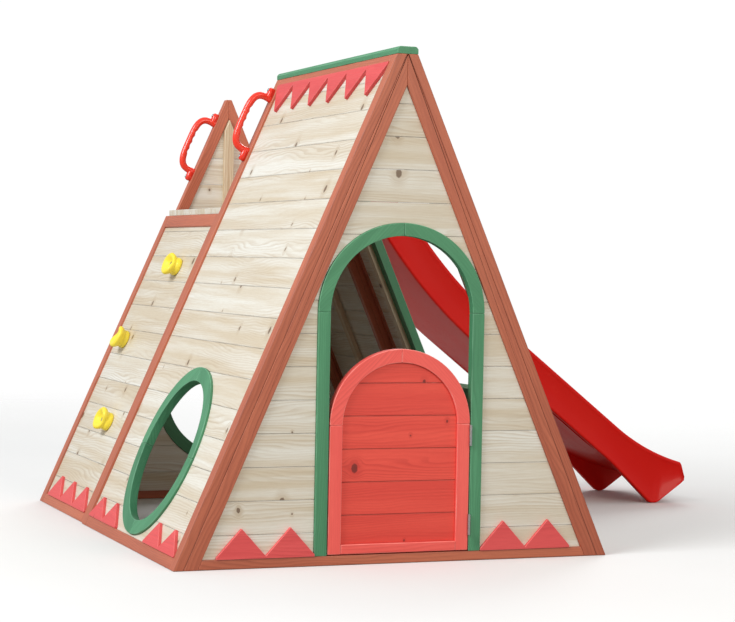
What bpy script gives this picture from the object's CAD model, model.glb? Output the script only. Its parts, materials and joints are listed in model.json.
# %% [markdown]
# # A wooden play set with a climbing wall
# The object is a small A-frame house for a garden: fir boards nailed across stained frames, a half door, a deck
# with a climbing wall under it, a moulded slide and two grab handles. The CAD model already holds every size and
# every joint, so this lesson is about looks: soft edges, grain, stain, and the moulded plastic pieces.
# The frame is loaded first, and the box it fills is kept, because no piece may grow out of it.

import json
import math

import bmesh
import bpy
import numpy as np
from mathutils import Matrix, Vector


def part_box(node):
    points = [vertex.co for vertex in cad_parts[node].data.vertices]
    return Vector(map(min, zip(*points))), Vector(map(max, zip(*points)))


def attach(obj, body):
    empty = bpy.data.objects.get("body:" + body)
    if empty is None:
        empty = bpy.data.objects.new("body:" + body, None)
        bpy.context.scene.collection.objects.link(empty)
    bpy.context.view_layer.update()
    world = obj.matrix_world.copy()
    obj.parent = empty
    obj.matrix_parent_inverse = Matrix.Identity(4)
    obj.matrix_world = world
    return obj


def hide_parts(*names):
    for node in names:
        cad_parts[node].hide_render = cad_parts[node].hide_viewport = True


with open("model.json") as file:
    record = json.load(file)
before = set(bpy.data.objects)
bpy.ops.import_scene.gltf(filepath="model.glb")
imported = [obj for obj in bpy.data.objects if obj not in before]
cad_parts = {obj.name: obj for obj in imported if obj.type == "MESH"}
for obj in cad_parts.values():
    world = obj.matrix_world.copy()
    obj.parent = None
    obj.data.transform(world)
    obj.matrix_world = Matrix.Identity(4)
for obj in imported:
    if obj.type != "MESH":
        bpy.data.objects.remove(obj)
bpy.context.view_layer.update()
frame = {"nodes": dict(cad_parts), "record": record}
bodies = frame["record"]["behaviour"]["bodies"]
body_of_node = {node: body for body, nodes in bodies.items() for node in nodes}


def add_object(name, data):
    made = bpy.data.objects.new(name, data)
    bpy.context.scene.collection.objects.link(made)
    return made

# %% [markdown]
# ## Where the viewer stands
# The set is looked at from its front left corner, a little below the middle of the gable, so that the gable, the
# long slope and the slide behind it all show. The camera is placed by its position and three turns. A long lens
# keeps the rafters nearly parallel. Building the matrix from the three axes is plainer than chaining rotations.

# %% Camera
CAMERA_PLACE = Vector((-2.7849, -6.4380, 0.8842))
YAW, PITCH, ROLL = 0.375, -0.025, 0.0192
LENS, SENSOR = 101.68, 36

forward = Vector((math.sin(YAW) * math.cos(PITCH), math.cos(YAW) * math.cos(PITCH), math.sin(PITCH)))
level_right = Vector((math.cos(YAW), -math.sin(YAW), 0))
level_up = level_right.cross(forward)
right = level_right * math.cos(ROLL) + level_up * math.sin(ROLL)
up = level_up * math.cos(ROLL) - level_right * math.sin(ROLL)
camera = add_object("camera", bpy.data.cameras.new("camera"))
camera.data.lens = LENS
camera.data.sensor_fit = "HORIZONTAL"
camera.data.sensor_width = SENSOR
turn = Matrix((right, up, -forward)).transposed().to_4x4()
camera.matrix_world = Matrix.Translation(CAMERA_PLACE) @ turn
bpy.context.scene.camera = camera

# %% [markdown]
# ## A short hand for node trees
# A shader is a small circuit, and wiring it line by line hides what it does. This class adds one node a call and
# gives back its output, so a pattern reads like a formula. The groups made with it are placed in several
# materials, each with its own values.


# %% Wires
class Wires:
    """Adds nodes to a tree; a value that is a socket is linked, and any other is typed in."""

    def __init__(self, tree):
        self.tree = tree

    def node(self, kind, sockets=None, **settings):
        made = self.tree.nodes.new("ShaderNode" + kind)
        for name, value in settings.items():
            setattr(made, name, value)
        for key, value in (sockets or {}).items():
            if isinstance(value, bpy.types.NodeSocket):
                self.tree.links.new(value, made.inputs[key])
            else:
                made.inputs[key].default_value = value
        return made

    def math(self, operation, *values, clamp=False):
        return self.node("Math", dict(enumerate(values)), operation=operation, use_clamp=clamp).outputs[0]

    def vector(self, operation, *values):
        made = self.node("VectorMath", dict(enumerate(values)), operation=operation)
        return made.outputs["Value" if operation in ("LENGTH", "DOT_PRODUCT") else "Vector"]

    def noise(self, place, stretch, detail=2.0, roughness=0.5):
        """Cloudy value about a half, at STRETCH turns a metre along each axis of PLACE."""
        scaled = self.vector("MULTIPLY", place, stretch)
        return self.node("TexNoise", {"Vector": scaled, "Scale": 1.0, "Detail": detail,
                                      "Roughness": roughness}).outputs["Fac"]

    def between(self, value, low, high, start=0.0, end=1.0):
        """Smooth step of VALUE from START at LOW to END at HIGH."""
        return self.node("MapRange", {"Value": value, "From Min": low, "From Max": high, "To Min": start,
                                      "To Max": end}, interpolation_type="SMOOTHSTEP").outputs["Result"]

    def mix(self, share, first, second):
        made = self.node("Mix", data_type="RGBA")
        for key, value in ((0, share), (6, first), (7, second)):
            if isinstance(value, bpy.types.NodeSocket):
                self.tree.links.new(value, made.inputs[key])
            else:
                made.inputs[key].default_value = value
        return made.outputs[2]

    def link(self, value, target):
        self.tree.links.new(value, target)


def new_material(name):
    """Material with its wires and the sockets of its shader."""
    material = bpy.data.materials.new(name)
    material.use_nodes = True
    return material, Wires(material.node_tree), material.node_tree.nodes["Principled BSDF"].inputs


def shade(red, green, blue):
    """Linear colour of a display colour given from 0 to 255."""
    display = np.array([red, green, blue]) / 255
    linear = np.where(display <= 0.04045, display / 12.92, ((display + 0.055) / 1.055) ** 2.4)
    return (*linear.tolist(), 1.0)


def new_group(name, inputs, outputs):
    """Node group with its own sockets: INPUTS are (name, kind, value) and OUTPUTS are (name, kind)."""
    tree = bpy.data.node_groups.new(name, "ShaderNodeTree")
    for label, kind, value in inputs:
        socket = tree.interface.new_socket(label, in_out="INPUT", socket_type="NodeSocket" + kind)
        socket.default_value = value
    for label, kind in outputs:
        tree.interface.new_socket(label, in_out="OUTPUT", socket_type="NodeSocket" + kind)
    wires = Wires(tree)
    return tree, wires, tree.nodes.new("NodeGroupInput").outputs, tree.nodes.new("NodeGroupOutput")


# %% [markdown]
# ## Fir, seen closely
# The boards are flat-sawn fir. Each shows dark latewood lines that run its length, bow round the knots and close
# into long loops, with paler and tanner streaks between them and a fine fibre over all. A picture could be
# wrapped on, but it would repeat. Here the lines are level curves of a stretched noise, bent away from knots
# that a cell pattern scatters, so no two boards match. The place on each board comes from attributes that every
# board carries: its own place from its middle, a random shift, its half size and its tone.

# %% Grain group
KNOT_CELL = (2.7, 9.0, 0.0)
KNOT_SMALL, KNOT_SPREAD = 0.0022, 0.0075
tree, wires, given, result = new_group(
    "fir grain",
    [("Place", "Vector", (0, 0, 0)), ("Ring spacing", "Float", 0.009), ("Knot share", "Float", 0.5)],
    [(name, "Float") for name in ("Rings", "Streaks", "Fibre", "Knots", "Halo", "Height")])
place, spacing, knot_share = given["Place"], given["Ring spacing"], given["Knot share"]
cells = wires.vector("MULTIPLY", place, KNOT_CELL)
scatter = wires.node("TexVoronoi", {"Vector": cells, "Scale": 1.0}, voronoi_dimensions="2D")
away = wires.vector("SUBTRACT", cells, scatter.outputs["Position"])
away = wires.vector("MULTIPLY", away, (1 / KNOT_CELL[0], 1 / KNOT_CELL[1], 0))
luck = wires.node("SeparateColor", {"Color": scatter.outputs["Color"]}).outputs
knot_size = wires.math("MULTIPLY_ADD", wires.math("POWER", luck["Red"], 2.0), KNOT_SPREAD, KNOT_SMALL)
ragged = wires.math("MULTIPLY_ADD", wires.noise(place, (160, 160, 160)), 0.004, -0.002)
reach = wires.math("ADD", wires.vector("LENGTH", wires.vector("MULTIPLY", away, (1.0, 0.7, 0))), ragged)
present = wires.math("LESS_THAN", luck["Green"], knot_share)
nearness = wires.math("DIVIDE", reach, knot_size)
knots = wires.math("MULTIPLY", wires.between(nearness, 0.8, 1.15, 1, 0), present)
halo = wires.math("MULTIPLY", wires.between(nearness, 1.0, 4.2, 1, 0), present)
part = wires.node("SeparateXYZ", {"Vector": place}).outputs
side = wires.node("SeparateXYZ", {"Vector": away}).outputs["Y"]
bowed = wires.math("SUBTRACT", part["Y"], wires.math("MULTIPLY", side, wires.math("MULTIPLY", halo, 0.8)))
sway = wires.math("MULTIPLY_ADD", wires.noise(place, (1.5, 9, 6), 2), 0.11, -0.055)
wander = wires.math("MULTIPLY_ADD", wires.noise(place, (7, 30, 20), 2), 0.012, -0.006)
level = wires.math("ADD", wires.math("ADD", bowed, sway), wires.math("MULTIPLY_ADD", part["Z"], 0.7, wander))
turns = wires.math("FRACT", wires.math("DIVIDE", level, spacing))
late = wires.math("MULTIPLY", wires.between(turns, 0.25, 0.85), wires.between(turns, 0.88, 1.0, 1, 0))
strength = wires.between(wires.noise(place, (1.1, 14, 9), 2), 0.35, 0.65, 0.15, 1)
rings = wires.math("MULTIPLY", late, strength)
streaks = wires.noise(place, (1.2, 26, 14), 4, 0.55)
fibre = wires.noise(place, (26, 620, 420), 3, 0.6)
height = wires.math("MULTIPLY_ADD", rings, 0.45, wires.math("MULTIPLY_ADD", knots, 0.8, fibre))
for name, value in (("Rings", rings), ("Streaks", streaks), ("Fibre", fibre), ("Knots", knots), ("Halo", halo),
                    ("Height", height)):
    tree.links.new(value, result.inputs[name])
fir_grain = tree

# %% [markdown]
# ## Rubbed edges
# On a real frame the stain is thinnest on the arrises, where a brush wipes it off and hands rub it, and it
# gathers a little beside the seams. The softened edges of each piece are marked when they are planed, so the
# mask can be read from the mesh. Finding edges from curvature in the shader would also work, but it depends on
# how finely each piece is cut up.

# %% Wear group
SEAM_REACH = 0.004
tree, wires, given, result = new_group(
    "rubbed edges",
    [("Place", "Vector", (0, 0, 0)), ("Spot", "Vector", (0, 0, 0)), ("Half", "Vector", (1, 1, 1)),
     ("Rim", "Float", 0.0)],
    [("Worn", "Float"), ("Seam", "Float")])
patchy = wires.between(wires.noise(given["Place"], (9, 60, 60), 3), 0.38, 0.6)
worn = wires.math("MULTIPLY", given["Rim"], wires.math("MULTIPLY_ADD", patchy, 0.7, 0.3))
margin = wires.vector("SUBTRACT", given["Half"], wires.vector("ABSOLUTE", given["Spot"]))
sides = wires.node("SeparateXYZ", {"Vector": margin}).outputs
gap = wires.math("MAXIMUM", sides["Y"], sides["Z"])
seam = wires.between(gap, 0.0, SEAM_REACH, 1, 0)
tree.links.new(worn, result.inputs["Worn"])
tree.links.new(seam, result.inputs["Seam"])
rubbed_edges = tree


# %% Timber finish
RING_SPACING, TONE_SPREAD, TIMBER_ROUGHNESS = 0.009, 0.5, 0.5
FIBRE_SHOW, HALO_SHOW, KNOT_SHOW = 0.16, 0.35, 0.85


def timber_finish(slot, pale, deep, line, knot, rub, ring=0.55, streak=0.6, knots=0.5, seam=0.16, worn=0.6):
    """Stained or clear fir: from PALE to DEEP by board and streak, then lines, knots, seams and rubbed edges."""
    material, wires, shader = new_material(slot)
    pale, deep, line, knot, rub = (shade(*colour) for colour in (pale, deep, line, knot, rub))

    def read(name, output):
        return wires.node("Attribute", attribute_name=name).outputs[output]

    spot, tone = read("spot", "Vector"), read("tone", "Fac")
    place = wires.vector("ADD", spot, read("shift", "Vector"))
    grain = wires.node("Group", node_tree=fir_grain)
    wear = wires.node("Group", node_tree=rubbed_edges)
    for group in (grain, wear):
        wires.link(place, group.inputs["Place"])
    wires.link(spot, wear.inputs["Spot"])
    wires.link(read("half", "Vector"), wear.inputs["Half"])
    wires.link(read("rim", "Fac"), wear.inputs["Rim"])
    grain.inputs["Ring spacing"].default_value = RING_SPACING
    grain.inputs["Knot share"].default_value = knots
    grain, wear = grain.outputs, wear.outputs
    broad = wires.between(grain["Streaks"], 0.33, 0.67)
    share = wires.math("ADD", wires.math("MULTIPLY", tone, TONE_SPREAD),
                       wires.math("MULTIPLY", broad, streak * (1 - TONE_SPREAD * 0.5)), clamp=True)
    fibre = wires.between(grain["Fibre"], 0.35, 0.7)
    colour = wires.mix(share, pale, deep)
    layers = ((grain["Rings"], ring, line), (fibre, FIBRE_SHOW, line), (grain["Halo"], HALO_SHOW, line),
              (grain["Knots"], KNOT_SHOW, knot), (wear["Seam"], seam, knot), (wear["Worn"], worn, rub))
    for mask, strength, over in layers:
        colour = wires.mix(wires.math("MULTIPLY", mask, strength), colour, over)
    wires.link(colour, shader["Base Color"])
    rough = wires.math("MULTIPLY_ADD", grain["Fibre"], 0.2, TIMBER_ROUGHNESS - 0.1)
    rough = wires.math("MULTIPLY_ADD", grain["Rings"], -0.06, rough)
    wires.link(rough, shader["Roughness"])
    bump = wires.node("Bump", {"Height": grain["Height"], "Strength": 0.35, "Distance": 0.0006})
    wires.link(bump.outputs["Normal"], shader["Normal"])
    return material


# Display colours of the pale wood, the deep wood, the lines, the knots and the rubbed edges, then strengths.
TIMBER = {
    "fir_boards": ((237, 236, 228), (213, 199, 175), (180, 154, 120), (106, 80, 58), (247, 245, 237),
                   dict(ring=0.4, streak=0.9, knots=0.8)),
    "brown_stain": ((206, 116, 84), (172, 86, 60), (138, 64, 44), (84, 38, 28), (230, 150, 124),
                    dict(ring=0.35, knots=0.0, seam=0.5, worn=0.15)),
    "green_stain": ((86, 157, 113), (58, 125, 86), (44, 102, 68), (24, 66, 44), (136, 194, 156),
                    dict(ring=0.4, knots=0.3, seam=0.3, worn=0.4)),
    "red_trim": ((238, 92, 92), (218, 70, 72), (186, 50, 52), (126, 32, 34), (248, 140, 138),
                 dict(ring=0.3, knots=0.2)),
    "door_red": ((248, 89, 72), (226, 66, 54), (196, 46, 38), (110, 28, 22), (255, 132, 116),
                 dict(ring=0.4, knots=0.9, seam=0.35, worn=0.3)),
    "door_frame_red": ((255, 106, 96), (244, 86, 78), (206, 60, 54), (130, 34, 30), (255, 160, 150),
                       dict(ring=0.3, knots=0.2)),
    "bare_batten": ((228, 214, 188), (204, 180, 144), (174, 140, 100), (104, 76, 52), (240, 230, 208),
                    dict(ring=0.5, knots=0.4)),
}
FINISH = {slot: timber_finish(slot, *colours, **strengths) for slot, (*colours, strengths) in TIMBER.items()}

# %% [markdown]
# ## Sawn members with softened edges
# Every board, stile and rafter leaves the plane with its arrises taken off, and that small round is what catches
# the light along each seam. The CAD members are sharp, so each is copied and welded, its flat triangles are
# joined into whole faces, and its sharp edges are rounded. The faces of those rounds are marked for the wear.
# Each loose board then gets its own grain: along its length where it is long, and along a stated line where the
# whole wall's boards run the same way.

# %% Softened timber
WELD = 1e-5
FLAT = math.radians(0.3)
SHARP = math.radians(25)
random_board = np.random.default_rng(41)


def loose_parts(count, edges):
    """Part number of each vertex: labels sink to the lowest number that edges reach, then are counted up."""
    label = np.arange(count)
    while True:
        low = np.minimum(label[edges[:, 0]], label[edges[:, 1]])
        sunk = label.copy()
        np.minimum.at(sunk, edges[:, 0], low)
        np.minimum.at(sunk, edges[:, 1], low)
        sunk = sunk[sunk]
        if (sunk == label).all():
            return np.unique(label, return_inverse=True)[1]
        label = sunk


def board_axes(points, along, face):
    """Length, width and thickness directions: the given ones, or the longest and the shortest spread."""
    spread = np.linalg.svd(points - points.mean(0), full_matrices=False)[2]
    length = np.array(along, float) if along is not None else spread[0]
    thick = np.array(face, float) if face is not None else spread[2]
    length = length - thick * (length @ thick)
    length /= np.linalg.norm(length)
    return np.array([length, np.cross(thick, length), thick])


def mesh_points(mesh):
    points = np.empty(len(mesh.vertices) * 3)
    mesh.vertices.foreach_get("co", points)
    return points.reshape(-1, 3)


def part_numbers(mesh):
    """Number of the loose part that each vertex of MESH belongs to."""
    edges = np.empty(len(mesh.edges) * 2, int)
    mesh.edges.foreach_get("vertices", edges)
    return loose_parts(len(mesh.vertices), edges.reshape(-1, 2))


def write_attribute(mesh, name, kind, values):
    field = "vector" if kind == "FLOAT_VECTOR" else "value"
    flat = np.ascontiguousarray(values, np.float32).ravel()
    mesh.attributes.new(name, kind, "POINT").data.foreach_set(field, flat)


def grain_attributes(mesh, along=None, face=None):
    """Writes spot, shift, half and tone for each loose board of MESH."""
    points, part = mesh_points(mesh), part_numbers(mesh)
    spot, shift, half = np.zeros((3, len(points), 3))
    tone = np.zeros(len(points))
    for number in range(part.max() + 1):
        mine = part == number
        axes = board_axes(points[mine], along, face)
        local = points[mine] @ axes.T
        middle = (local.max(0) + local.min(0)) / 2
        spot[mine] = local - middle
        half[mine] = (local.max(0) - local.min(0)) / 2
        shift[mine] = random_board.uniform((-9, -9, -2), (9, 9, 2))
        tone[mine] = random_board.beta(1.3, 1.6)
    for name, values in (("spot", spot), ("shift", shift), ("half", half)):
        write_attribute(mesh, name, "FLOAT_VECTOR", values)
    write_attribute(mesh, "tone", "FLOAT", tone)
    return part.max() + 1


def soft_timber(node, slot, ease, along=None, face=None):
    """Copy of CAD node NODE with its edges rounded by EASE, its grain laid and its finish on."""
    work = bmesh.new()
    work.from_mesh(frame["nodes"][node].data)
    rim = work.faces.layers.float.new("rim")
    bmesh.ops.remove_doubles(work, verts=work.verts, dist=WELD)
    bmesh.ops.dissolve_limit(work, angle_limit=FLAT, verts=work.verts, edges=work.edges)
    sharp = [edge for edge in work.edges if edge.calc_face_angle(0) > SHARP]
    rounded = bmesh.ops.bevel(work, geom=sharp, offset=ease, segments=2, profile=0.5, affect="EDGES",
                              clamp_overlap=False)
    for round_face in rounded["faces"]:
        round_face[rim] = 1.0
    for each in work.faces:
        each.smooth = True
    mesh = bpy.data.meshes.new(node + "_soft")
    work.to_mesh(mesh)
    work.free()
    boards = grain_attributes(mesh, along, face)
    piece = add_object(node + "_soft", mesh)
    mesh.materials.clear()
    mesh.materials.append(FINISH[slot])
    piece.modifiers.new("flat faces stay flat", "WEIGHTED_NORMAL").keep_sharp = False
    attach(piece, body_of_node[node])
    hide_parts(node)
    return boards


LEAN = (0.4012, 0.9160)
ACROSS_GABLE, ALONG_RIDGE = (1, 0, 0), (0, 1, 0)
LEFT_FACE, RIGHT_FACE, FRONT_FACE = (-LEAN[1], 0, LEAN[0]), (LEAN[1], 0, LEAN[0]), (0, -1, 0)
BOARD_EASE, FRAME_EASE, TRIM_EASE = 0.0011, 0.0022, 0.0012
boarding = {
    "front_gable_boards": ("fir_boards", ACROSS_GABLE, FRONT_FACE),
    "rear_gable_boards": ("fir_boards", ACROSS_GABLE, FRONT_FACE),
    "left_slope_boards": ("fir_boards", ALONG_RIDGE, LEFT_FACE),
    "climb_boards": ("fir_boards", ALONG_RIDGE, LEFT_FACE),
    "right_slope_boards": ("fir_boards", ALONG_RIDGE, RIGHT_FACE),
    "slide_side_boards": ("fir_boards", ALONG_RIDGE, RIGHT_FACE),
    "deck_boards": ("fir_boards", ACROSS_GABLE, (0, 0, 1)),
    "door_boards": ("door_red", ACROSS_GABLE, FRONT_FACE),
}
trims = {
    "front_zigzags": (ACROSS_GABLE, FRONT_FACE), "left_ridge_zigzag": (ALONG_RIDGE, LEFT_FACE),
    "right_ridge_zigzag": (ALONG_RIDGE, RIGHT_FACE), "left_foot_zigzags": (ALONG_RIDGE, LEFT_FACE),
    "right_foot_zigzags": (ALONG_RIDGE, RIGHT_FACE), "climb_zigzag": (ALONG_RIDGE, LEFT_FACE),
}
frames = {
    "brown_stain": ["front_rafter_left", "front_rafter_right", "mid_rafter_left", "mid_rafter_right",
                    "front_sill", "left_stile_front", "left_stile_rear", "left_top_rail", "left_bottom_rail",
                    "right_stile_front", "right_stile_rear", "right_top_rail", "right_bottom_rail",
                    "climb_stile_front", "climb_stile_rear", "climb_rails", "slide_side_stiles",
                    "slide_side_rails", "rear_rafter_left", "rear_rafter_right", "rear_sill"],
    "green_stain": ["door_jamb_left", "door_jamb_right", "doorway_arch", "round_window_frame",
                    "side_window_frame", "rear_window_frame", "ridge_cap"],
    "door_frame_red": ["door_stiles", "door_arch_rail", "door_bottom_rail"],
    "bare_batten": ["side_window_battens", "slide_side_batten", "rear_center_batten", "deck_bearers"],
}
count = 0
for node, (slot, along, face) in boarding.items():
    count += soft_timber(node, slot, BOARD_EASE, along, face)
for node, (along, face) in trims.items():
    count += soft_timber(node, "red_trim", TRIM_EASE, along, face)
for slot, nodes in frames.items():
    for node in nodes:
        count += soft_timber(node, slot, FRAME_EASE)
print("timber pieces with their own grain:", count)

# %% [markdown]
# ## Moulded plastic
# The slide, the handles and the holds are hollow moulded plastic. Their skin is glossy but never a mirror: it has
# a very fine orange peel, faint flow marks, and hairline scuffs where children sit and grip. One group gives the
# roughness and the height for all three, and each material sets how strong the scuffs are.

# %% Plastic group
tree, wires, given, result = new_group(
    "moulded skin", [("Place", "Vector", (0, 0, 0)), ("Scuffs", "Float", 0.5), ("Gloss", "Float", 0.2)],
    [("Tint", "Float"), ("Roughness", "Float"), ("Height", "Float")])
peel = wires.noise(given["Place"], (260, 260, 260), 2)
flow = wires.noise(given["Place"], (5, 9, 5), 3)
scratch_a = wires.between(wires.noise(given["Place"], (14, 420, 40), 3), 0.62, 0.7)
scratch_b = wires.between(wires.noise(given["Place"], (300, 22, 260), 3), 0.64, 0.72)
scuffs = wires.math("MULTIPLY", wires.math("MAXIMUM", scratch_a, scratch_b), given["Scuffs"])
rough = wires.math("MULTIPLY_ADD", flow, 0.12, given["Gloss"])
rough = wires.math("MULTIPLY_ADD", scuffs, 0.25, rough)
height = wires.math("MULTIPLY_ADD", scuffs, -0.6, wires.math("MULTIPLY", peel, 0.5))
tint = wires.math("MULTIPLY_ADD", scuffs, 0.35, wires.math("MULTIPLY", wires.between(flow, 0.3, 0.7), 0.3))
for name, value in (("Tint", tint), ("Roughness", rough), ("Height", height)):
    tree.links.new(value, result.inputs[name])
moulded_skin = tree


def plastic_finish(slot, body, bloom, scuffs, gloss, coat, glint):
    """Moulded plastic: BODY colour fading to BLOOM where it is scuffed or flowed; GLINT scales its bare shine."""
    material, wires, shader = new_material(slot)
    place = wires.node("TexCoord").outputs["Object"]
    skin = wires.node("Group", node_tree=moulded_skin)
    wires.link(place, skin.inputs["Place"])
    skin.inputs["Scuffs"].default_value = scuffs
    skin.inputs["Gloss"].default_value = gloss
    wires.link(wires.mix(skin.outputs["Tint"], shade(*body), shade(*bloom)), shader["Base Color"])
    wires.link(skin.outputs["Roughness"], shader["Roughness"])
    bump = wires.node("Bump", {"Height": skin.outputs["Height"], "Strength": 0.2, "Distance": 0.0004})
    wires.link(bump.outputs["Normal"], shader["Normal"])
    for name, value in (("Coat Weight", coat), ("Coat Roughness", 0.08), ("IOR", 1.5),
                        ("Specular IOR Level", glint)):
        shader[name].default_value = value
    return material


# Body and bloom colours, scuffs, gloss, coat and glint.
PLASTIC = {
    "slide_plastic": ((226, 18, 8), (232, 38, 22), 0.5, 0.28, 0.12, 0.16),
    "handle_plastic": ((240, 46, 22), (248, 84, 56), 0.4, 0.18, 0.3, 0.5),
    "hold_plastic": ((252, 226, 46), (254, 238, 110), 0.3, 0.36, 0.05, 0.5),
}
FINISH.update({slot: plastic_finish(slot, *values) for slot, values in PLASTIC.items()})

# %% [markdown]
# ## Surfaces from grids
# The moulded pieces are smooth shapes that a formula can say: a section carried along a path, or a profile turned
# about an axis. Each is a grid of points worked out for the whole array at once. One helper turns any such grid
# into a closed mesh. It wraps the seam, welds the poles and turns the faces outwards.


# %% Grid helper
def closed_surface(name, grid, slot, body, node=None, caps=True):
    """Mesh over GRID, rows by columns by xyz, closed round its columns; CAPS closes the first and last row."""
    rows, columns = grid.shape[:2]
    first = np.arange(rows - 1)[:, None] * columns
    column = np.arange(columns)[None, :]
    after = (column + 1) % columns
    quads = np.stack([first + column, first + after, first + columns + after, first + columns + column], -1)
    faces = [tuple(quad) for quad in quads.reshape(-1, 4).tolist()]
    if caps:
        faces += [tuple(range(columns)), tuple(range((rows - 1) * columns, rows * columns))]
    mesh = bpy.data.meshes.new(name)
    mesh.from_pydata(grid.reshape(-1, 3).tolist(), [], faces)
    work = bmesh.new()
    work.from_mesh(mesh)
    bmesh.ops.remove_doubles(work, verts=work.verts, dist=2e-6)
    bmesh.ops.dissolve_degenerate(work, edges=work.edges, dist=2e-6)
    bmesh.ops.recalc_face_normals(work, faces=work.faces)
    open_edges = sum(not edge.is_manifold for edge in work.edges)
    for each in work.faces:
        each.smooth = True
    work.to_mesh(mesh)
    work.free()
    mesh.materials.append(FINISH[slot])
    piece = add_object(name, mesh)
    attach(piece, body)
    if node:
        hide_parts(node)
    print(name, len(mesh.polygons), "faces,", open_edges, "open edges")
    return piece

# %% [markdown]
# ## The slide
# The real slide is blown from one red shell: two side walls with a rolled lip, a floor between them with wide
# fillets, a hollow under the floor, and two feet that stand on the ground. It could be modelled as a box and
# carved. It is easier to say as a section carried down a path, because four lines rule it: the lip, the floor, the
# floor's underside and the walls' lower edge. Each line is worked out at the same stations, and every point of
# the section sits on one of them, a little up or down.

# %% Slide lines
SLIDE_START, CREST, DECK_TOP = -0.3111, -0.2341, 1.047
CREST_RADIUS, SWEEP_RADIUS, EXIT_RADIUS = 0.230, 1.700, 0.900
STEEP, SLOPE, LEVEL_OUT, RIM_OUT = (math.radians(angle) for angle in (55, 38, 8, 15))
FLOOR, WALL, LIP_RISE, EXIT_HEIGHT = 0.022, 0.024, 0.117, 0.090
KNEE, FOOT_RUN, FOOT_FLAT = 0.154, 0.163, 0.030
SHOULDER, NOSE_DROP, HEEL_DROP, HEEL_BACK = 0.013, 0.007, 0.020, 0.015
LIP_CLIMB, LIP_CURVE, LIP_LOW = 0.034, 2.4, 0.008
NOSING_RUN, NOSING_DROP = 0.010, 0.009
WALL_NEEDED, EDGE_NEEDED = 0.058, 0.012
slide_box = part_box("slide")
SLIDE_NEAR, SLIDE_WIDTH = slide_box[0].y, slide_box[1].y - slide_box[0].y


def heading(angle):
    """Unit direction square to a path that falls at ANGLE: up and forward."""
    return np.stack([np.sin(angle), np.cos(angle)], -1)


def along_run(point, length):
    return point + np.multiply.outer(length, np.array([math.cos(SLOPE), -math.sin(SLOPE)]))


def path_points(offset, run_length, exit_radius, leave, counts):
    """Side view of a line OFFSET above the underside: level, crest arc, sweep arc, straight run, exit arc."""
    level, crest, sweep, straight, exit_count = counts
    centre = np.array([CREST, DECK_TOP - CREST_RADIUS])
    steep_end = centre + CREST_RADIUS * heading(STEEP)
    sweep_centre = steep_end + SWEEP_RADIUS * heading(STEEP)
    start = np.stack([np.linspace(SLIDE_START, CREST, level, endpoint=False),
                      np.full(level, DECK_TOP + offset)], -1)
    over = centre + (CREST_RADIUS + offset) * heading(np.linspace(0, STEEP, crest, endpoint=False))
    down = sweep_centre - (SWEEP_RADIUS - offset) * heading(np.linspace(STEEP, SLOPE, sweep, endpoint=False))
    run_start = sweep_centre - (SWEEP_RADIUS - offset) * heading(SLOPE)
    run = along_run(run_start, np.linspace(0, run_length, straight, endpoint=False))
    run_end = along_run(run_start, run_length)
    exit_centre = run_end + exit_radius * heading(SLOPE)
    out = exit_centre - exit_radius * heading(np.linspace(SLOPE, leave, exit_count))
    return np.concatenate([start, over, down, run, out])


def even_run(points, start, count):
    """POINTS kept up to START, and COUNT points spread evenly by length over the rest."""
    rest = points[start:]
    length = np.concatenate([[0], np.cumsum(np.linalg.norm(np.diff(rest, axis=0), axis=1))])
    wanted = np.linspace(0, length[-1], count)
    spread = np.stack([np.interp(wanted, length, rest[:, axis]) for axis in (0, 1)], -1)
    return np.concatenate([points[:start], spread])


COUNTS = (14, 30, 34, 60, 50)
UPPER = sum(COUNTS[:3])
LOWER = 120
floor_start = path_points(FLOOR, 1.0, 1.0, SLOPE, (2, 2, 2, 2, 1))[6]
exit_drop = (EXIT_RADIUS - FLOOR) * (math.cos(LEVEL_OUT) - math.cos(SLOPE))
run_length = (floor_start[1] - exit_drop - EXIT_HEIGHT) / math.sin(SLOPE)
floor_line = path_points(FLOOR, run_length, EXIT_RADIUS - FLOOR, LEVEL_OUT, COUNTS)
under_line = path_points(0, run_length, EXIT_RADIUS, LEVEL_OUT, COUNTS)
tip = floor_line[-1]
rim_radius = EXIT_RADIUS - LIP_RISE - FLOOR
rim_start = path_points(LIP_RISE, 1.0, 1.0, SLOPE, (2, 2, 2, 2, 1))[6]
reach_out = rim_radius * (math.sin(SLOPE) - math.sin(RIM_OUT))
rim_run = (tip[0] - SHOULDER - reach_out - rim_start[0]) / math.cos(SLOPE)
rim_line = path_points(LIP_RISE, rim_run, rim_radius, RIM_OUT, COUNTS)

# %% [markdown]
# The lip starts low at the deck and climbs to its full height in a short curve, as the moulding does there. At
# the far end it turns down round a corner to the tip. The walls' lower edge leaves the floor's underside at the
# knee, goes down to the foot, along the ground, and back up to the nose.

# %% Slide section


def rounded_corner(points, corner, cut, count=10):
    """Corner number CORNER of a polyline swapped for a quadratic curve that starts and ends CUT away."""
    before, middle, after = points[corner - 1:corner + 2]
    first = middle + (before - middle) * min(1, cut / np.linalg.norm(before - middle))
    last = middle + (after - middle) * min(1, cut / np.linalg.norm(after - middle))
    share = np.linspace(0, 1, count)[:, None]
    curve = first * (1 - share) ** 2 + middle * 2 * share * (1 - share) + last * share ** 2
    return np.concatenate([points[:corner], curve, points[corner + 1:]])


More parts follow.
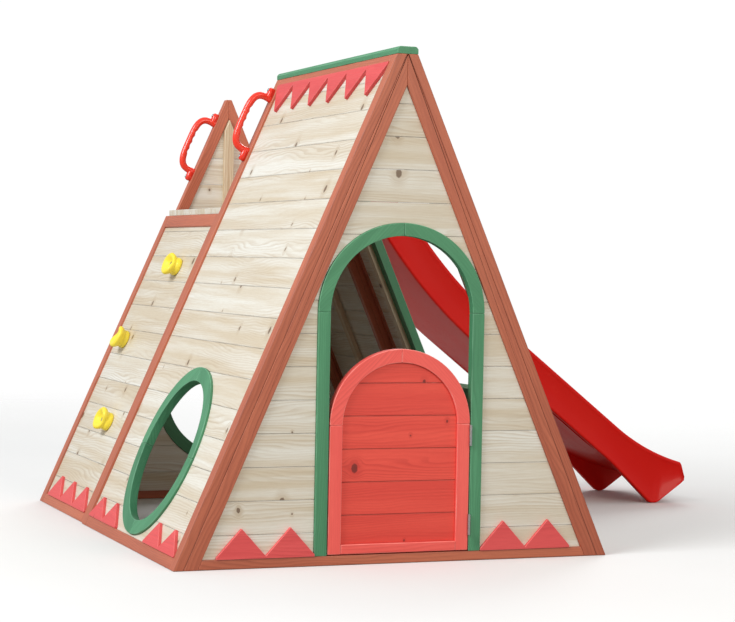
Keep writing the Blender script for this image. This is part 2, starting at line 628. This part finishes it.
level_count = COUNTS[0]
climb = np.clip((rim_line[:level_count, 0] - SLIDE_START) / LIP_CLIMB, 0, 1)
climb = np.sqrt(np.clip(1 - (1 - climb) ** LIP_CURVE, 0, 1))
rim_line[:level_count, 1] = DECK_TOP + (FLOOR + LIP_LOW + (LIP_RISE - FLOOR - LIP_LOW) * climb)
nosing = np.clip((floor_line[:level_count, 0] - SLIDE_START) / NOSING_RUN, 0, 1)
floor_line[:level_count, 1] -= NOSING_DROP * (1 - np.sqrt(1 - (1 - nosing) ** 2))
knee_length = (under_line[UPPER][1] - KNEE) / math.sin(SLOPE)
knee = along_run(under_line[UPPER], knee_length)
heel = np.array([knee[0] + FOOT_RUN, 0])
toe = heel + (FOOT_FLAT, 0)
lower_edge = np.array([under_line[UPPER], knee, heel, toe, tip - (HEEL_BACK, HEEL_DROP), tip - (0.001, NOSE_DROP)])
for corner, cut in ((4, 0.012), (3, 0.010), (2, 0.010), (1, 0.030)):
    lower_edge = rounded_corner(lower_edge, corner, cut)
lower_line = even_run(np.concatenate([under_line[:UPPER], lower_edge]), UPPER, LOWER)
rim_tail = np.concatenate([rim_line, [tip + (-0.0005, 0.004)]])
rim_line = even_run(rounded_corner(rim_tail, len(rim_tail) - 2, 0.022, 14), UPPER, LOWER)
floor_line = even_run(floor_line, UPPER, LOWER)
under_end = np.concatenate([under_line[:-1], [tip - (0.002, NOSE_DROP)]])
under_line = even_run(under_end, UPPER, LOWER)
straight_up = rim_line - floor_line
straight_up /= np.maximum(np.linalg.norm(straight_up, axis=1, keepdims=True), 1e-9)

RIM, BED, UNDER, EDGE = range(4)
lines = np.stack([rim_line, floor_line, under_line, lower_line])
# Half section from the outer lower edge over the lip to the middle of the floor: line, rise above it, place in.
outer_half = [(EDGE, 0.0, 0.0045), (EDGE, 0.0012, 0.0016), (EDGE, 0.004, 0.0002), (EDGE, 0.008, 0.0),
              (EDGE, 0.011, 0.0008), (EDGE, 0.015, 0.0022), (RIM, -0.020, 0.0022), (RIM, -0.016, 0.0010),
              (RIM, -0.013, 0.0), (RIM, -0.0075, 0.0), (RIM, -0.0035, 0.0011), (RIM, -0.0009, 0.0042),
              (RIM, 0.0, 0.0085), (RIM, 0.0, 0.0150), (RIM, -0.0010, 0.0195), (RIM, -0.0038, 0.0226),
              (RIM, -0.0080, 0.0240), (RIM, -0.020, 0.0248), (BED, 0.034, 0.0262), (BED, 0.022, 0.0280),
              (BED, 0.0125, 0.0330), (BED, 0.0055, 0.0410), (BED, 0.0014, 0.0520), (BED, 0.0, 0.066),
              (BED, -0.0008, 0.110), (BED, -0.0014, 0.165), (BED, -0.0016, 0.222)]
# Half section under the floor, from its middle out to the wall and down to the lower edge.
under_half = [(UNDER, 0.0, 0.222), (UNDER, 0.0, 0.12), (UNDER, 0.0, 0.034), (UNDER, -0.0006, 0.0275),
              (UNDER, -0.003, 0.0245), (EDGE, 0.004, 0.0240), (EDGE, 0.0012, 0.0226), (EDGE, 0.0, 0.0195)]
near_side = under_half + outer_half
far_side = [(line, rise, SLIDE_WIDTH - place) for line, rise, place in reversed(near_side)]
section = near_side + far_side[1:-1]
which, rise, place = (np.array(values) for values in zip(*section))
wall_height = np.linalg.norm(rim_line - floor_line, axis=1)
edge_height = np.linalg.norm(under_line - lower_line, axis=1)
# Rises shrink where the wall is lower than the section needs, so the surface never folds over itself.
squeeze = np.clip(wall_height[:, None] / WALL_NEEDED, 0, 1)
foot_squeeze = np.clip(edge_height[:, None] / EDGE_NEEDED, 0, 1)
inside = (place > WALL / 2) & (place < SLIDE_WIDTH - WALL / 2)
scaled = rise * np.where((which == UNDER) | (which == EDGE) & inside, foot_squeeze, squeeze)
side_view = lines[which.astype(int)].transpose(1, 0, 2) + scaled[..., None] * straight_up[:, None, :]
slide_grid = np.stack([side_view[..., 0], np.broadcast_to(SLIDE_NEAR + place, scaled.shape), side_view[..., 1]], -1)
slide_grid[..., 0] = np.clip(slide_grid[..., 0], slide_box[0].x, slide_box[1].x)
slide_grid[..., 2] = np.clip(slide_grid[..., 2], 0, slide_box[1].z)
closed_surface("slide_shell", slide_grid, "slide_plastic", "root", "slide")

# %% [markdown]
# ## Grab handles
# A playground handle is a D of thick tube whose grip is scalloped for four fingers on the side that faces the
# wall, and it ends in two flared feet with rounded toes, each held by a screw. The line of the D is a
# superellipse, which turns smoothly from leg to grip where two straight tubes and an elbow would show their
# joins. A ring is carried along it, and its radius varies with the place along the D and with the angle.

# %% Handles
HANDLE_SPACING, HANDLE_HEIGHT, TUBE, TOE, PAD_WIDTH, PAD_THICK = 0.195, 0.075, 0.0128, 0.024, 0.028, 0.020
BEND_POWER, GRIP_HALF, FINGERS, SCALLOP = 3.8, 0.052, 4, 0.0032
SLOPE_UP, SLOPE_OUT = np.array([LEAN[0], 0, LEAN[1]]), np.array([-LEAN[1], 0, LEAN[0]])


def superellipse(angle, width, height, power):
    """Point at ANGLE on |x/width|^power + |y/height|^power = 1."""
    cosine, sine = np.cos(angle), np.sin(angle)
    return np.stack([width * np.sign(cosine) * np.abs(cosine) ** (2 / power),
                     height * np.sign(sine) * np.abs(sine) ** (2 / power)], -1)


def handle_tube_grid(stations=150, ring=36):
    """D of tube in the plane (up the slope, out): flared at both feet, scalloped on the inner side of the grip."""
    dense = superellipse(np.linspace(0, math.pi, 1600), HANDLE_SPACING / 2, HANDLE_HEIGHT - TUBE, BEND_POWER)
    length = np.concatenate([[0], np.cumsum(np.linalg.norm(np.diff(dense, axis=0), axis=1))])
    wanted = np.linspace(0, length[-1], stations)
    spine = np.stack([np.interp(wanted, length, dense[:, axis]) for axis in (0, 1)], -1)
    way = np.gradient(spine, axis=0)
    way /= np.linalg.norm(way, axis=1, keepdims=True)
    inward = np.stack([-way[:, 1], way[:, 0]], -1)
    from_end = np.minimum(wanted, length[-1] - wanted)
    radius = TUBE * 0.93 + 0.0019 * np.exp(-(from_end / 0.013) ** 2)
    grip = np.clip(1 - np.abs(spine[:, 0]) / GRIP_HALF, 0, 1)
    wave = np.abs(np.sin(np.pi * FINGERS * (spine[:, 0] + GRIP_HALF) / (2 * GRIP_HALF))) ** 1.2
    scallop = SCALLOP * wave * np.clip(grip * 5, 0, 1)
    angle = np.linspace(0, 2 * math.pi, ring, endpoint=False)
    inner = np.clip(np.cos(angle), 0, 1) ** 1.5
    reach = radius[:, None] - scallop[:, None] * inner[None, :]
    plane = spine[:, None, :] + inward[:, None, :] * (reach * np.cos(angle))[..., None]
    return plane, reach * np.sin(angle)


def toe_grid(direction, levels=16, ring=48):
    """Rounded toe pad: a stadium whose edge follows a quarter circle from the wall to its flat top."""
    turn = np.linspace(0, math.pi / 2, levels)
    height = np.concatenate([[0], PAD_THICK * (0.5 + 0.5 * np.sin(turn)), [PAD_THICK]])
    shrink = np.concatenate([[0.0010], 0.0080 * (1 - np.cos(turn)), [0.0132]])
    angle = np.linspace(0, 2 * math.pi, ring, endpoint=False)
    long_half = (TOE + TUBE * 2) / 2
    middle = direction * (long_half - TUBE)
    outline = superellipse(angle, 1, 1, 2.7)
    up = middle + outline[None, :, 0] * (long_half - shrink[:, None])
    across = outline[None, :, 1] * (PAD_WIDTH / 2 - shrink[:, None])
    return up, across, np.broadcast_to(height[:, None], up.shape)


def place_on_slope(base, up, out, across):
    """World points of (up the slope, out of it, along the ridge) places measured from BASE."""
    return (base + np.multiply.outer(up, SLOPE_UP) + np.multiply.outer(out, SLOPE_OUT)
            + np.multiply.outer(across, np.array([0, 1.0, 0])))


def join_pieces(name, pieces, node):
    """Joins PIECES into the first, which keeps its body and slot and stands for NODE."""
    with bpy.context.temp_override(active_object=pieces[0], selected_editable_objects=pieces):
        bpy.ops.object.join()
    pieces[0].name = name
    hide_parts(node)
    return pieces[0]


def slope_base(points):
    """Middle of the footprint of POINTS: the middle of their spread, moved down onto the slope's face."""
    up, out = points @ SLOPE_UP, points @ SLOPE_OUT
    base = (up.max() + up.min()) / 2 * SLOPE_UP + out.min() * SLOPE_OUT
    base[1] = (points[:, 1].max() + points[:, 1].min()) / 2
    return base


for node in ("grab_handle_front", "grab_handle_rear"):
    base = slope_base(mesh_points(frame["nodes"][node].data))
    plane, across = handle_tube_grid()
    made = [closed_surface(node + "_grip", place_on_slope(base, plane[..., 0], np.maximum(plane[..., 1], 0.0002),
                                                          across), "handle_plastic", "root")]
    for direction in (-1, 1):
        up, across, out = toe_grid(direction)
        foot = base + SLOPE_UP * direction * HANDLE_SPACING / 2
        made.append(closed_surface(node + "_toe", place_on_slope(foot, up, out, across), "handle_plastic", "root"))
    join_pieces(node + "_moulded", made, node)

# %% [markdown]
# ## Climbing holds
# Each hold is a fat yellow mushroom: a foot on the boards, a waist behind for the finger tips, a swollen lip with
# one side bitten in like a kidney, and a dished face with a deep bolt seat. A turned profile gives the round
# shape, and a bite that depends on the angle pulls the lip in and down on one side.

# %% Holds
HOLD_WIDE, HOLD_TALL, BOLT_SEAT = 0.050, 0.042, 0.022
BITE_SPREAD, BITE_IN, BITE_DOWN = 0.95, 0.34, 0.26
# Profile from the boards round the lip to the bolt seat: share of the radius, depth, share of the bite.
HOLD_PROFILE = [(0.0, 0.0, 0), (0.66, 0.0, 0), (0.725, 0.0012, 0), (0.755, 0.0045, 0), (0.765, 0.009, 0.02),
                (0.75, 0.0135, 0.06), (0.735, 0.0175, 0.15), (0.76, 0.0212, 0.4), (0.84, 0.025, 0.7),
                (0.93, 0.0295, 0.92), (0.98, 0.0345, 1), (0.985, 0.0395, 1), (0.93, 0.0435, 1), (0.83, 0.0455, 1),
                (0.71, 0.0450, 0.95), (0.59, 0.0422, 0.8), (0.48, 0.0385, 0.55), (0.40, 0.035, 0.3),
                (0.32, 0.0325, 0.15), (0.25, 0.0312, 0.05), (0.215, 0.0300, 0), (0.207, 0.0270, 0),
                (0.205, 0.0222, 0), (0.0, BOLT_SEAT, 0)]


def hold_grid(bite_angle, ring=72):
    """Kidney mushroom: the profile turned about its axis, with a smooth bite out of the lip at BITE_ANGLE."""
    knots = np.array(HOLD_PROFILE)
    stations = np.linspace(0, len(knots) - 1, 4 * (len(knots) - 1) + 1)
    share, deep, bite = (np.interp(stations, np.arange(len(knots)), knots[:, column]) for column in range(3))
    soften = np.array([0.25, 0.5, 0.25])
    for _ in range(3):
        share[1:-1] = np.convolve(share, soften, "valid")
        deep[1:-1] = np.convolve(deep, soften, "valid")
    angle = np.linspace(0, 2 * math.pi, ring, endpoint=False)
    off = (angle - bite_angle + math.pi) % (2 * math.pi) - math.pi
    notch = np.exp(-np.abs(off / BITE_SPREAD) ** 2.4)
    lobes = 1 + 0.018 * np.sin(3 * angle + 1) + 0.012 * np.sin(5 * angle)
    reach = share[:, None] * (1 - BITE_IN * bite[:, None] * notch) * np.where(bite[:, None] > 0, lobes, 1)
    out = deep[:, None] * (1 - BITE_DOWN * bite[:, None] * notch)
    return reach * np.cos(angle), reach * np.sin(angle), out


def loose_points(node):
    """Vertices of NODE and the loose part that each belongs to, welded first."""
    work = bmesh.new()
    work.from_mesh(frame["nodes"][node].data)
    bmesh.ops.remove_doubles(work, verts=work.verts, dist=WELD)
    mesh = bpy.data.meshes.new("scratch")
    work.to_mesh(mesh)
    work.free()
    points, part = mesh_points(mesh), part_numbers(mesh)
    bpy.data.meshes.remove(mesh)
    return [points[part == number] for number in range(part.max() + 1)]


made = []
for number, (points, bite_angle) in enumerate(zip(loose_points("climbing_holds"), (2.7, 0.6, 3.6))):
    across, rise, out = hold_grid(bite_angle)
    grid = place_on_slope(slope_base(points), rise * HOLD_TALL, out, across * HOLD_WIDE)
    made.append(closed_surface(f"hold_{number}", grid, "hold_plastic", "root", caps=False))
join_pieces("climbing_holds_moulded", made, "climbing_holds")

# %% [markdown]
# ## Zinc fixings
# Screws, bolts and hinges are zinc plated steel: a grey metal with a faint crystal bloom and a dull film. The
# heads are turned profiles with a hexagon socket pressed in, because a plain disc would read as a stud.

# %% Zinc finish
zinc, wires, shader = new_material("zinc_steel")
place = wires.node("TexCoord").outputs["Object"]
bloom = wires.between(wires.noise(place, (240, 240, 240), 3), 0.35, 0.65)
film = wires.between(wires.noise(place, (40, 40, 40), 4), 0.4, 0.62)
colour = wires.mix(bloom, shade(196, 198, 200), shade(168, 171, 174))
wires.link(wires.mix(wires.math("MULTIPLY", film, 0.4), colour, shade(150, 150, 142)), shader["Base Color"])
rough = wires.math("MULTIPLY_ADD", bloom, 0.15, wires.math("MULTIPLY_ADD", film, 0.15, 0.28))
wires.link(rough, shader["Roughness"])
bump = wires.node("Bump", {"Height": bloom, "Strength": 0.15, "Distance": 0.0002})
wires.link(bump.outputs["Normal"], shader["Normal"])
shader["Metallic"].default_value = 1.0
FINISH["zinc_steel"] = zinc


# %% Socket heads
def socket_grid(radius, height, shank_radius, shank_length, ring=36):
    """Shank, domed head and hexagon socket: a turned profile whose socket stations blend from round to hexagon."""
    socket, deep = radius * 0.48, height * 0.55
    # Radius, place along the axis from under the head, share of hexagon.
    shank = [(0, -shank_length, 0), (shank_radius * 0.8, -shank_length, 0),
             (shank_radius, -shank_length + 0.001, 0), (shank_radius, 0, 0)]
    dome = [(radius * 0.97, 0, 0), (radius, height * 0.10, 0), (radius * 0.985, height * 0.35, 0),
            (radius * 0.93, height * 0.6, 0), (radius * 0.82, height * 0.82, 0), (radius * 0.68, height * 0.96, 0)]
    hollow = [(socket * 1.16, height, 0.2), (socket * 1.02, height * 0.985, 0.9), (socket, height * 0.93, 1),
              (socket * 0.97, height - deep, 1), (0, height - deep * 1.05, 1)]
    profile = np.array(shank + dome + hollow)
    angle = np.linspace(0, 2 * math.pi, ring, endpoint=False)
    sector = (angle + math.pi / 6) % (math.pi / 3) - math.pi / 6
    hexagon = math.cos(math.pi / 6) / np.cos(sector)
    reach = profile[:, :1] * (1 + (hexagon - 1) * profile[:, 2:])
    return reach * np.cos(angle), reach * np.sin(angle), np.broadcast_to(profile[:, 1:2], reach.shape)


def socket_screw(name, points, axis, shank_radius):
    """Screw with a socket head where CAD points lie along AXIS, which points out of the head."""
    axis = np.array(axis, float) / np.linalg.norm(axis)
    side = np.cross(axis, (0, 0, 1) if abs(axis[2]) < 0.9 else (1, 0, 0))
    side /= np.linalg.norm(side)
    other = np.cross(axis, side)
    deep = points @ axis
    middle = [(points @ way).max() / 2 + (points @ way).min() / 2 for way in (side, other)]
    radius = ((points @ side).max() - (points @ side).min()) / 2
    centre = side * middle[0] + other * middle[1]
    wide = np.linalg.norm(points - np.outer(deep, axis) - centre, axis=1) > radius * 0.9
    head_low = deep[wide].min()
    first, second, along = socket_grid(radius, deep.max() - head_low, shank_radius, head_low - deep.min())
    grid = (centre + np.multiply.outer(first, side) + np.multiply.outer(second, other)
            + np.multiply.outer(along + head_low, axis))
    return closed_surface(name, grid, "zinc_steel", "root", caps=False)


def fixings(node, axis, shank_radius, keep=lambda points: True):
    made = [socket_screw(f"{node}_{number}", points, axis, shank_radius)
            for number, points in enumerate(loose_points(node)) if keep(points)]
    return join_pieces(node + "_turned", made, node)


fixings("frame_bolts", (0, 1, 0), 0.004)
fixings("slide_screws", (0, 0, 1), 0.0025)
fixings("handle_screws", SLOPE_OUT, 0.0025)
for node in ("hold_bolts", "hinge_leaves_door", "hinge_leaves_jamb", "hinge_pins"):
    mesh = frame["nodes"][node].data
    mesh.materials.clear()
    mesh.materials.append(zinc)

# %% [markdown]
# ## Floor and light
# The set stands on a plain pale floor. One broad soft light high on the left does the work of a bright hazy sky,
# so the long slope is the lightest face and the gable a little deeper, and a weak one from the right fills the
# slide's wall. The surroundings are pale too, so the inside of the house stays readable but dark.

# %% Stage
FLOOR_REACH, FLOOR_NEAR, FLOOR_FAR, FLOOR_LEVEL = 40.0, 2.6, 7.5, -0.0004
floor_mesh = bpy.data.meshes.new("floor")
corners = [(x * FLOOR_REACH, y * FLOOR_REACH, FLOOR_LEVEL) for x, y in ((-1, -1), (1, -1), (1, 1), (-1, 1))]
floor_mesh.from_pydata(corners, [], [(0, 1, 2, 3)])
floor = add_object("floor", floor_mesh)
pale, wires, shader = new_material("pale_floor")
ground = wires.node("TexCoord").outputs["Object"]
cloudy = wires.noise(ground, (0.8, 0.8, 0.8), 3)
seen = wires.node("LightPath").outputs["Is Camera Ray"]
paint = wires.mix(cloudy, (0.80, 0.80, 0.79, 1), (0.84, 0.84, 0.835, 1))
wires.link(wires.mix(seen, (0.30, 0.30, 0.28, 1), paint), shader["Base Color"])
shader["Roughness"].default_value = 0.9
fade = wires.between(wires.vector("LENGTH", ground), FLOOR_NEAR, FLOOR_FAR, 1, 0)
wires.link(wires.math("MAXIMUM", fade, wires.math("SUBTRACT", 1.0, seen)), shader["Alpha"])
floor_mesh.materials.append(pale)


def soft_light(name, place, target, size, power, tint=(1, 1, 1)):
    lamp = bpy.data.lights.new(name, "AREA")
    lamp.shape, lamp.size, lamp.energy, lamp.color = "DISK", size, power, tint
    lit = add_object(name, lamp)
    lit.location = place
    lit.rotation_mode = "QUATERNION"
    lit.rotation_quaternion = (Vector(target) - Vector(place)).to_track_quat("-Z", "Y")


soft_light("sky_left", (-7.5, -2.6, 6.0), (-0.4, 0, 0.6), 4.5, 640, (0.965, 0.985, 1.0))
soft_light("front_fill", (1.5, -8.0, 3.4), (0.0, 0, 0.6), 4.0, 175, (1.0, 0.925, 0.80))
soft_light("rear_fill", (4.0, 6.0, 5.0), (0.2, 0.3, 0.6), 4.0, 200)
world = bpy.data.worlds.new("pale surroundings")
world.use_nodes = True
bpy.context.scene.world = world
wires = Wires(world.node_tree)
seen = wires.node("LightPath").outputs["Is Camera Ray"]
tone = wires.mix(seen, (0.95, 0.955, 0.96, 1), (1.64, 1.64, 1.64, 1))
world.node_tree.links.new(tone, world.node_tree.nodes["Background"].inputs["Color"])
world.node_tree.nodes["Background"].inputs["Strength"].default_value = 0.62
bpy.context.scene.view_settings.view_transform = "Standard"
